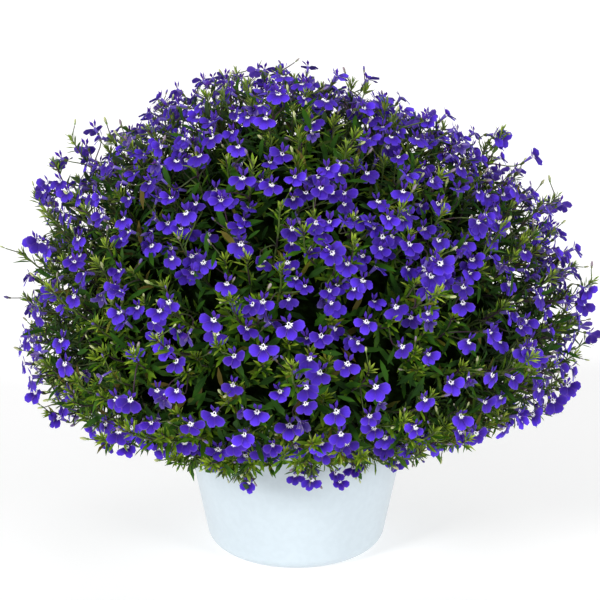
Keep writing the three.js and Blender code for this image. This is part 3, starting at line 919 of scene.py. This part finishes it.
HIDDEN_BLOOMS = 405
HIDDEN_LEVELS = (0.85, 0.95)
HIDDEN_LOWEST = 0.3  # least z of a direction beside which they stand, and so only on the upper side
HIDDEN_LEFTMOST = -0.55  # and its least x
HIDDEN_SIZES = (0.78, 1.0)
LOOSE = (0.9, 0.9)  # how much at random such blooms face and roll
CLUSTER_SPREAD = (7.0, 15.0)
REACHING_SHOOTS = 40
REACHING_POLAR = (44, 96)  # degrees
REACHING_LEVELS = (0.99, 1.03)
REACHING_BLOOMS = 90
REACHING_SETBACK = (0, 0.04)
REACHING_GROWTH = 0.15  # how much larger they are than the hidden ones
HANGING_BLOOMS = 46
HANGING_LOWER = (2, 9)  # degrees under the hem
HANGING_LEVELS = (1.0, 1.1)
SPENT_BLOOMS = 150
SPENT_DRAWS = 12
SPENT_LEVELS = (0.84, 0.95)
SPENT_SIZES = (0.7, 0.95)
HEM = math.radians(110)
HEM_TUCK = 0.12  # share by which it is nearer to the heart at both sides
HEM_STRAY = 0.5  # radians by which places stray round it


def beside(ways, index):
    """Directions a little beside others."""
    stray = stray_ways(index, 72)
    sideways = unit(stray - (stray * ways).sum(1, keepdims=True) * ways)
    return unit(ways + sideways * (lerp(*CLUSTER_SPREAD, draw(index, 75)) / REACH)[:, None])


def at_hem(index, lower, levels):
    """Places near the skirt's hem. lower: by how many degrees they are under it, levels: how far out."""
    azimuth = index * GOLDEN_ANGLE + HEM_STRAY * spread(index, 76)
    ways = direction(HEM + np.radians(lerp(*lower, draw(index, 77))), azimuth)
    return ways, from_heart(ways, lerp(*levels, draw(index, 78)) * (1 - HEM_TUCK * np.sin(azimuth) ** 2))


def reaching_places(k):
    """Directions and levels of the places past the usual reach where some shoots and blooms stand."""
    azimuth = (k + draw(k, 86)) * 2 * math.pi / REACHING_SHOOTS
    ways = direction(np.radians(lerp(*REACHING_POLAR, draw(k, 85))), azimuth)
    return ways, lerp(*REACHING_LEVELS, draw(k, 87))


def hidden_heads(sites):
    """Draws, heads and frames of blooms half hidden beside the open ones."""
    index = HIDDEN_FIRST + np.arange(HIDDEN_BLOOMS)
    ways = sites["way"]
    crowded = sites["is_bloom"] & (ways[:, 2] > HIDDEN_LOWEST) & (ways[:, 0] > HIDDEN_LEFTMOST)
    neighbours = ways[crowded]
    ways = beside(neighbours[(draw(index, 71) * len(neighbours)).astype(int)], index)
    return index, from_heart(ways, lerp(*HIDDEN_LEVELS, draw(index, 8))), *head_frames(ways, index, *LOOSE)


def reaching_heads():
    """The same of blooms past the usual reach, which turn broadside to the front or the back."""
    index = REACHING_FIRST + np.arange(REACHING_BLOOMS)
    ways, levels = reaching_places(index % REACHING_SHOOTS)
    ways = beside(ways, index)
    heads = from_heart(ways, levels - lerp(*REACHING_SETBACK, draw(index, 79)))
    facing, upward = head_frames(ways, index, *LOOSE)
    broadside = np.sign(ways[:, 1:2]) * (0, 1, 0)
    return index, heads, unit(facing + broadside), upward


def hanging_heads():
    """The same of blooms that dangle under the hem."""
    index = HANGING_FIRST + np.arange(HANGING_BLOOMS)
    ways, heads = at_hem(index, HANGING_LOWER, HANGING_LEVELS)
    stray = stray_ways(index, 3)
    facing = unit(unit(ways * (1, 1, 0)) + 0.1 * UP + 0.5 * stray)
    return index, heads, facing, UP + 0.4 * stray


def build_more_blooms(sites, stems):
    """Smaller blooms that fill in round the open ones, reach past them and dangle."""
    crowds = (hidden_heads(sites), reaching_heads(), hanging_heads())
    index, heads, facing, upward = (np.concatenate(rows) for rows in zip(*crowds))
    sizes = lerp(*HIDDEN_SIZES, draw(index, 9))
    sizes[HIDDEN_BLOOMS : HIDDEN_BLOOMS + REACHING_BLOOMS] += REACHING_GROWTH
    # A darker copy of the petal finish as painted shade, used for the hidden, reaching and hanging blooms
    # alike; its third colour is the rims' painted highlight
    petals = petal_finish("lobelia_petal_in_shade", "#4826c4", "#260b64", "#705adc", "#523a9e")
    points = as_points(heads, turns_to(facing, upward), sizes, draw(index, 12))
    shape = bloom_shape("half open", (-90, -34, 214), fold=24, side_fold=8, upper_fold=50, width=0.95)
    place_crowd("hidden_blooms", shape, points, (0.0026, 110.0), petals)
    return flower_stalks(heads, facing, sizes, stems)


def build_spent_blooms(stems):
    """Spent blooms, shrivelled and nodding."""
    # The third colour is the rims' painted highlight
    faded = petal_finish("lobelia_petal_spent", "#4f3d9c", "#2a1a5c", "#8d80be", "#6c5c9c", eye=0.4)
    index = SPENT_FIRST + np.arange(SPENT_BLOOMS)
    ways = scatter_ways(SPENT_BLOOMS, SPENT_DRAWS, (23, 24))
    facing, upward = head_frames(ways, index, 0.6, 1.0)
    facing = unit(facing - 0.7 * UP)
    heads = from_heart(ways, lerp(*SPENT_LEVELS, draw(index, 8)))
    sizes = lerp(*SPENT_SIZES, draw(index, 9))
    points = as_points(heads, turns_to(facing, upward), sizes, draw(index, 12))
    shape = bloom_shape("spent", (-90, -20, 200), fold=66, upper_fold=72, width=0.7, droop=2.2)
    place_crowd("spent_blooms", shape, points, (0.0045, 260.0), faded)
    return flower_stalks(heads, facing, sizes, stems)


SHOOTS = 465
SHOOT_DRAWS = 16
SHOOT_LOWEST = math.radians(115)
SHOOT_LEVELS = (0.82, 0.955)
SHOOT_SPREAD = 0.05
RIM_SHOOTS = 140
RIM_LOWER = (-19, 2)  # degrees under the hem, and so mostly over it
RIM_LEVELS = (0.97, 1.06)
HEM_SHOOTS = 64
HEM_LOWER = (0, 8)
HEM_LEVELS = (0.95, 1.1)
SHOOT_STEPS = 9


def shoot_lines(sites):
    """Leafy stems from deep in each spray to the bush's outside, those of the solids among them. Their tips
    turn up to the light. Some reach out past the rest, some crowd the hem, and the last ones droop under it.
    """
    leafy = chosen(sites, sites["is_leafy"])
    more = scatter_ways(SHOOTS, SHOOT_DRAWS, (25, 26), SHOOT_LOWEST)
    reaching, reaching_levels = reaching_places(np.arange(REACHING_SHOOTS))
    ways = np.concatenate((leafy["way"], more, reaching))
    index = SHOOT_FIRST + np.arange(len(ways))
    far = np.concatenate((leafy["far"], draw(index[len(leafy["way"]) :], 8)))
    levels = lerp(*SHOOT_LEVELS, far ** 0.8)
    levels[-REACHING_SHOOTS:] = reaching_levels
    stray = SHOOT_SPREAD * stray_ways(index, 27)
    tips = from_heart(unit(ways + stray), levels)
    end_ways = unit(0.75 * ways + 0.75 * UP + 4 * stray)

    rim = RIM_FIRST + np.arange(RIM_SHOOTS)
    rim_ways, rim_tips = at_hem(rim, RIM_LOWER, RIM_LEVELS)
    low = HEM_FIRST + np.arange(HEM_SHOOTS)
    low_ways, low_tips = at_hem(low, HEM_LOWER, HEM_LEVELS)
    index = np.concatenate((index, rim, low))
    ways = np.concatenate((ways, rim_ways, low_ways))
    tips = np.concatenate((tips, rim_tips, low_tips))
    leans = np.concatenate((0.6 * rim_ways + 0.8 * UP, 0.5 * low_ways - 0.6 * UP))
    leans = unit(leans + 0.5 * stray_ways(index[-len(leans) :], 27))
    end_ways = np.concatenate((end_ways, leans))
    lines = bends(roots_of(ways), spray_of(ways), tips, end_ways, SHOOT_STEPS)
    return lines, tips, end_ways, index


def build_shoots(sites):
    """Leaves of three ages along the leafy stems, and a few broad ones on those that droop at the hem."""
    lines, tips, end_ways, index = shoot_lines(sites)
    broad = leaf_finish("broad_leaf", "#16320a", "#254b12", "#386416", depth=0.6)
    toothed = leaf_finish("toothed_leaf", "#183a06", "#30580a", "#4a750e")
    young = leaf_finish("young_leaf", "#2c5208", "#52760f", "#7b981f", depth=0.7)
    tuft = leaf_finish("shoot_tip_leaf", "#527310", "#849e22", "#b2c254", depth=0.5)
    every = as_lines(lines, 1.0)
    drooping = as_lines(lines[-HEM_SHOOTS:], 1.0)
    # Name, finish, stems, shape, and the tree's inputs in their order
    runs = (
        ("broad_leaves", broad, drooping, leaf_shape("broad", 16, BROAD_OUTLINE, 3, 0.8),
         (0.45, 0.9, 3, 1.0, 0.7, 0.5, 1.1, 0.8, 0.25, 41)),
        ("toothed_leaves", toothed, every, leaf_shape("toothed", 12.5, TOOTHED_OUTLINE, 2.4, 0.35),
         (0.3, 0.92, 8, 1.2, 0.85, 0.35, 1.15, 0.8, 0.25, 11)),
        ("young_leaves", young, every, leaf_shape("young", 9, NARROW_OUTLINE, 1.4, 0.25),
         (0.55, 0.98, 15, 1.1, 0.6, 0.4, 1.15, 0.7, 0.25, 21)),
        ("shoot_tip_leaves", tuft, every, leaf_shape("tip", 6.5, NEEDLE_OUTLINE, 0.7, 0.15),
         (0.94, 1.0, 13, 0.85, 0.15, 0.25, 1.15, 0.7, 0.2, 31)),
    )
    for name, finish, stems, shape, values in runs:
        values = {**dict(zip(LEAF_INPUTS, values)), "Material": finish}
        place_piece(name, grow(LEAVES, stems, values, ("Leaf", shape)))
    return lines, tips, end_ways, index


BUD_STEPS = 4
BUD_SETBACK = 3.0  # how far behind a shoot's tip its bud's stalk begins
BUD_STALKS = (5, 13)
BUD_SIZES = (0.5, 0.95)


def build_buds(tips, end_ways, index):
    """A bud on a short stalk at each shoot's tip."""
    facing = unit(end_ways + 0.9 * stray_ways(index, 31))
    starts = tips - BUD_SETBACK * end_ways
    ends = starts + facing * lerp(*BUD_STALKS, draw(index, 34))[:, None]
    turns = turns_to(facing, np.cross(facing, (0.3, 0.9, 0.2)))
    points = as_points(ends + 1.2 * facing, turns, lerp(*BUD_SIZES, draw(index, 35)), draw(index, 36))
    place_crowd("buds", bud_shape(), points, (0.0006, 200.0), bud_finish())
    return bends(starts, end_ways, ends, facing, BUD_STEPS)


INNER_LEAVES = 5000
INNER_LEVELS = (0.68, 0.9)
INNER_LOWEST = math.radians(108)
INNER_SIZES = (0.8, 1.35)


def build_inner_leaves():
    """The dense older leaves inside, which close the view through the bush; their greens are darker than the
    outer leaves' as painted shade.
    """
    # Dark greens: painted shade of the bush's inside
    finish = leaf_finish("inner_leaf", "#0e2a03", "#1f4406", "#2e560a", roughness=0.65)
    i = np.arange(INNER_LEAVES)
    ways = even_ways(INNER_LEAVES, INNER_LOWEST)
    places = from_heart(ways, lerp(*INNER_LEVELS, draw(i, 41)))
    facing = unit(ways * 0.45 + stray_ways(i, 42))
    points = as_points(places, turns_to(facing, ways + 0.01), lerp(*INNER_SIZES, draw(i, 45)), draw(i, 46))
    shape = leaf_shape("inner", 12, INNER_OUTLINE, 2.0, 0.35)
    place_crowd("inner_leaves", shape, points, (0.002, 60.0), finish)


CORE_LEVEL = 0.7
CORE_LOWEST = math.radians(98)
CORE_BOTTOM = 8.0  # how far its foot lies under the heart
CORE_ROUGHNESS = 0.07
CORE_RINGS = 26
CORE_SIDES = 48


def build_core():
    """The twiggy mass in the middle: a rough closed body, well inside the leaves, near black as painted shade
    of the bush's depths.
    """
    build = bmesh.new()
    rings = []
    side = np.arange(CORE_SIDES)
    for j in range(1, CORE_RINGS):
        polar = CORE_LOWEST * j / (CORE_RINGS - 1)
        ways = direction(np.full(CORE_SIDES, polar), 2 * math.pi * side / CORE_SIDES)
        levels = CORE_LEVEL * (1 + CORE_ROUGHNESS * spread(j * CORE_SIDES + side, 51))
        rings.append([build.verts.new(tuple(p * MM)) for p in from_heart(ways, levels)])
    top = build.verts.new(tuple((HEART + UP * CORE_LEVEL * REACH) * MM))
    bottom = build.verts.new(tuple((HEART - UP * CORE_BOTTOM) * MM))
    for i in range(CORE_SIDES):
        k = (i + 1) % CORE_SIDES
        build.faces.new((top, rings[0][i], rings[0][k]))
        for low, high in zip(rings[1:], rings):
            build.faces.new((high[i], low[i], low[k], high[k]))
        build.faces.new((rings[-1][i], bottom, rings[-1][k]))
    bmesh.ops.recalc_face_normals(build, faces=build.faces)
    mesh = made_mesh(build, "core")
    # Near black with darker-green patches: painted shade of the bush's inside, laid on a twiggy body
    finish, tree, shader = new_finish("twigs_in_painted_shade", 1.0, Specular_IOR_Level=0.0)
    place = add(tree, "ShaderNodeTexCoord", output="Object")
    noise = add(tree, "ShaderNodeTexNoise", {"Vector": place, "Scale": 150.0, "Detail": 3.0})
    body = paint(tree, linear("#040802"), ((noise, 0.35, 0.75, 1.0, "#142208"),))
    tree.links.new(body, shader.inputs["Base Color"])
    mesh.materials.append(finish)
    place_piece("inner_twigs", mesh)


MAIN_STEPS = 12
FORK_STEPS = 5


def build_stems(flower_lines, bud_lines, shoot_stems):
    """Main stems from the soil into each spray, their forks to the leafy stems, and the thin stalks."""
    turn = np.arctan2(SPRAY_WAYS[:, 1], SPRAY_WAYS[:, 0])
    distance = STEM_SPREAD * polar_of(SPRAY_WAYS) / SPRAY_LOWEST
    depth = np.full(SPRAYS, SOIL_EDGE - STEM_DEPTH)
    feet = np.stack((distance * np.cos(turn), distance * np.sin(turn), depth), -1)
    tops = from_heart(SPRAY_WAYS, np.full(SPRAYS, ROOT_LEVEL))
    main = bends(feet, np.tile(UP, (SPRAYS, 1)), tops, SPRAY_WAYS, MAIN_STEPS)
    fork_ways = spray_of(shoot_stems[:, -1] - HEART)
    shoot_ways = unit(shoot_stems[:, 1] - shoot_stems[:, 0])
    forks = bends(HEART + fork_ways * NECK_DISTANCE, fork_ways, shoot_stems[:, 0], shoot_ways, FORK_STEPS)
    dark = stem_finish("older_stem", "#33461c", "#3a2430")
    fine = stem_finish("flower_stalk", "#4f6428", "#3b2438")
    # Name, lines, radius at their start and end, sides and finish
    runs = (
        ("main_stems", main, 2.0, 1.2, 8, dark),
        ("forked_stems", forks, 1.3, 1.0, 3, dark),
        ("leafy_stems", shoot_stems, 0.85, 0.42, 4, fine),
        ("flower_stalks", flower_lines, 0.36, 0.48, 3, fine),
        ("bud_stalks", bud_lines, 0.38, 0.32, 3, fine),
    )
    for name, lines, radius, end_radius, sides, finish in runs:
        thickness = np.linspace(radius, end_radius, lines.shape[1])
        mesh = grow(STALKS, as_lines(lines, thickness), {"Sides": sides, "Material": finish})
        place_piece(name, mesh)


# Pot, as in the solids
POT_HEIGHT = 100.0
POT_FOOT_RADIUS = 53.5
POT_RIM_RADIUS = 73.0
POT_CORNER = 9.0
POT_WALL = 1.8
POT_LIP = 1.1
POT_SIDES = 128
CORNER_STEPS = 10
LIP_STEPS = 8
DRAINS = 5
DRAIN_SIDES = 24
DRAIN_RADIUS = 4.0
DRAIN_CIRCLE = 33.0
SOIL_GAP = 0.4


def pot_line(inset, top):
    """The pot's outer line moved inwards: its foot corner, then the top of its wall."""
    slope = math.atan2(POT_RIM_RADIUS - POT_FOOT_RADIUS, POT_HEIGHT)
    corner = POT_CORNER - inset

    def radius_at(z):
        return POT_FOOT_RADIUS + z * math.tan(slope) - inset / math.cos(slope)

    centre = radius_at(POT_CORNER) - corner / math.cos(slope)
    line = []
    for i in range(CORNER_STEPS + 1):
        angle = -math.pi / 2 + i / CORNER_STEPS * (math.pi / 2 - slope)
        line.append((centre + corner * math.cos(angle), POT_CORNER + corner * math.sin(angle)))
    return line + [(radius_at(top), top)]


def turned_mesh(name, profile, sides):
    """A closed mesh turned round +Z. profile: (radius, height) with both ends on the axis."""
    build = bmesh.new()
    verts = [build.verts.new((r * MM, 0, z * MM)) for r, z in profile]
    edges = [build.edges.new(pair) for pair in zip(verts, verts[1:])]
    bmesh.ops.spin(build, geom=verts + edges, cent=(0, 0, 0), axis=(0, 0, 1), angle=2 * math.pi, steps=sides)
    bmesh.ops.remove_doubles(build, verts=build.verts, dist=1e-6)
    bmesh.ops.recalc_face_normals(build, faces=build.faces)
    return made_mesh(build, name)


def with_drains(mesh):
    """The pot with its ring of drain holes."""
    build = bmesh.new()
    for i in range(DRAINS):
        angle = 2 * math.pi * i / DRAINS
        middle = (DRAIN_CIRCLE * MM * math.cos(angle), DRAIN_CIRCLE * MM * math.sin(angle), 0)
        bmesh.ops.create_cone(
            build, cap_ends=True, segments=DRAIN_SIDES, radius1=DRAIN_RADIUS * MM,
            radius2=DRAIN_RADIUS * MM, depth=4 * POT_WALL * MM, matrix=Matrix.Translation(middle),
        )
    cutter = add_object("drains", made_mesh(build, "drains"))
    source = add_object("source", mesh)
    modifier = source.modifiers.new("drains", "BOOLEAN")
    modifier.operation = "DIFFERENCE"
    modifier.object = cutter
    modifier.solver = "EXACT"
    drained = evaluated(source)
    bpy.data.objects.remove(source)
    bpy.data.objects.remove(cutter)
    return drained


def build_pot():
    """The moulded pot: one thin wall with a rounded foot and a rolled rim."""
    lip_z = POT_HEIGHT - 2 * POT_LIP
    outside = pot_line(0, lip_z)
    inside = pot_line(POT_WALL, lip_z)
    outer, inner = outside[-1][0], inside[-1][0]
    middle = (outer + inner) / 2
    half = (outer - inner) / 2 + POT_LIP / 2
    lip = []
    for i in range(LIP_STEPS + 1):
        angle = math.pi * i / LIP_STEPS
        height = lip_z + 0.4 * POT_LIP + 1.6 * POT_LIP * math.sin(angle)
        lip.append((middle + POT_LIP / 2 + half * math.cos(angle), height))
    profile = [(0, 0), *outside, *lip, *inside[::-1], (0, POT_WALL)]
    pot = with_drains(turned_mesh("pot", profile, POT_SIDES))
    pot.materials.clear()
    pot.materials.append(pot_finish())
    pot.shade_smooth()
    pot.set_sharp_from_angle(angle=math.radians(40))
    place_piece("moulded_pot", pot, ["pot"])


SOIL_RINGS = 16
SOIL_SIDES = 72
SOIL_ROUGHNESS = 1.2
CRUMBS = 500
CRUMB_SIZES = (0.7, 2.2)  # radii
CRUMB_MARGIN = 3.0  # how far their middles keep from the pot's wall
CRUMB_LIFT = 0.4  # how far a crumb's middle lies over the soil


def build_soil():
    """Soil that fills the pot, with a rough top and loose crumbs on it."""
    inset = POT_WALL + SOIL_GAP
    side = pot_line(inset, SOIL_EDGE)
    edge = side[-1][0]
    rings = []
    for i in range(1, SOIL_RINGS):
        share = 1 - i / SOIL_RINGS
        rings.append((edge * share, lerp(SOIL_EDGE, SOIL_CROWN, 1 - share ** 2)))
    mesh = turned_mesh("soil", [(0, inset), *side, *rings, (0, SOIL_CROWN)], SOIL_SIDES)
    co = np.empty(len(mesh.vertices) * 3)
    mesh.vertices.foreach_get("co", co)
    co = co.reshape(-1, 3)
    top = (co[:, 2] > SOIL_EDGE * MM - 1e-6) & (np.hypot(co[:, 0], co[:, 1]) < (edge - 1) * MM)
    i = np.arange(len(co))
    co[top, 2] += SOIL_ROUGHNESS * MM * spread(i[top], 61)
    mesh.vertices.foreach_set("co", co.ravel())
    finish = soil_finish()
    mesh.materials.append(finish)
    place_piece("potting_soil", mesh, ["soil"])

    build = bmesh.new()
    bmesh.ops.create_icosphere(build, subdivisions=1, radius=MM)
    crumb = made_mesh(build, "crumb")
    i = np.arange(CRUMBS)
    radius = (edge - CRUMB_MARGIN) * np.sqrt(draw(i, 62))
    angle = 2 * math.pi * draw(i, 63)
    height = lerp(SOIL_CROWN, SOIL_EDGE, (radius / edge) ** 2) + CRUMB_LIFT
    places = np.stack((radius * np.cos(angle), radius * np.sin(angle), height), -1)
    stray = stray_ways(i, 64)
    turns = turns_to(unit(stray), np.roll(stray, 1, 1) + 0.01)
    points = as_points(places, turns, lerp(*CRUMB_SIZES, draw(i, 67) ** 2), draw(i, 68))
    place_crowd("soil_crumbs", crumb, points, (0.0016, 500.0), finish)


FLOOR_SIZE = 14  # metres from its middle to a side
FLOOR_GLOW = 0.5
SKY_STRENGTH = 0.3
# Name, energy, width in degrees, tilt from straight down, and swing to the right of the front
LAMPS = (
    ("left_lamp", 2.3, 16, 64, -50), ("right_lamp", 1.8, 22, 66, 54), ("front_lamp", 0.95, 30, 86, 0),
    ("back_lamp", 0.6, 40, 40, 170),
)


def make_stage():
    """A plain pale floor that glows a little as a lit studio sweep does, a soft sky, two broad lamps left and
    right of the front, a weaker low one at the front, and one behind."""
    build = bmesh.new()
    bmesh.ops.create_grid(build, x_segments=1, y_segments=1, size=FLOOR_SIZE)
    floor_mesh = made_mesh(build, "floor")
    glow = {"Emission_Color": linear("#ffffff"), "Emission_Strength": FLOOR_GLOW}
    finish, _, shader = new_finish("pale_floor", 0.9, **glow)
    shader.inputs["Base Color"].default_value = linear("#cccccc")
    floor_mesh.materials.append(finish)
    floor = add_object("floor", floor_mesh)

    world = bpy.data.worlds.new("studio")
    world.use_nodes = True
    background = world.node_tree.nodes["Background"]
    background.inputs["Color"].default_value = (1.0, 1.0, 1.0, 1.0)
    background.inputs["Strength"].default_value = SKY_STRENGTH
    bpy.context.scene.world = world

    for name, energy, spread_angle, tilt, swing in LAMPS:
        lamp_data = bpy.data.lights.new(name, "SUN")
        lamp_data.energy = energy
        lamp_data.angle = math.radians(spread_angle)
        lamp = add_object(name, lamp_data)
        lamp.rotation_euler = (math.radians(tilt), 0, math.radians(swing))
    bpy.context.scene.view_settings.view_transform = "Standard"


build_pot()
build_soil()
sites = make_sites()
shoot_stems, shoot_tips, shoot_ways, shoot_index = build_shoots(sites)
bloom_lines = np.concatenate((
    build_blooms(sites, shoot_stems), build_more_blooms(sites, shoot_stems), build_spent_blooms(shoot_stems),
))
bud_lines = build_buds(shoot_tips, shoot_ways, shoot_index)
build_stems(bloom_lines, bud_lines, shoot_stems)
build_inner_leaves()
build_core()
make_stage()
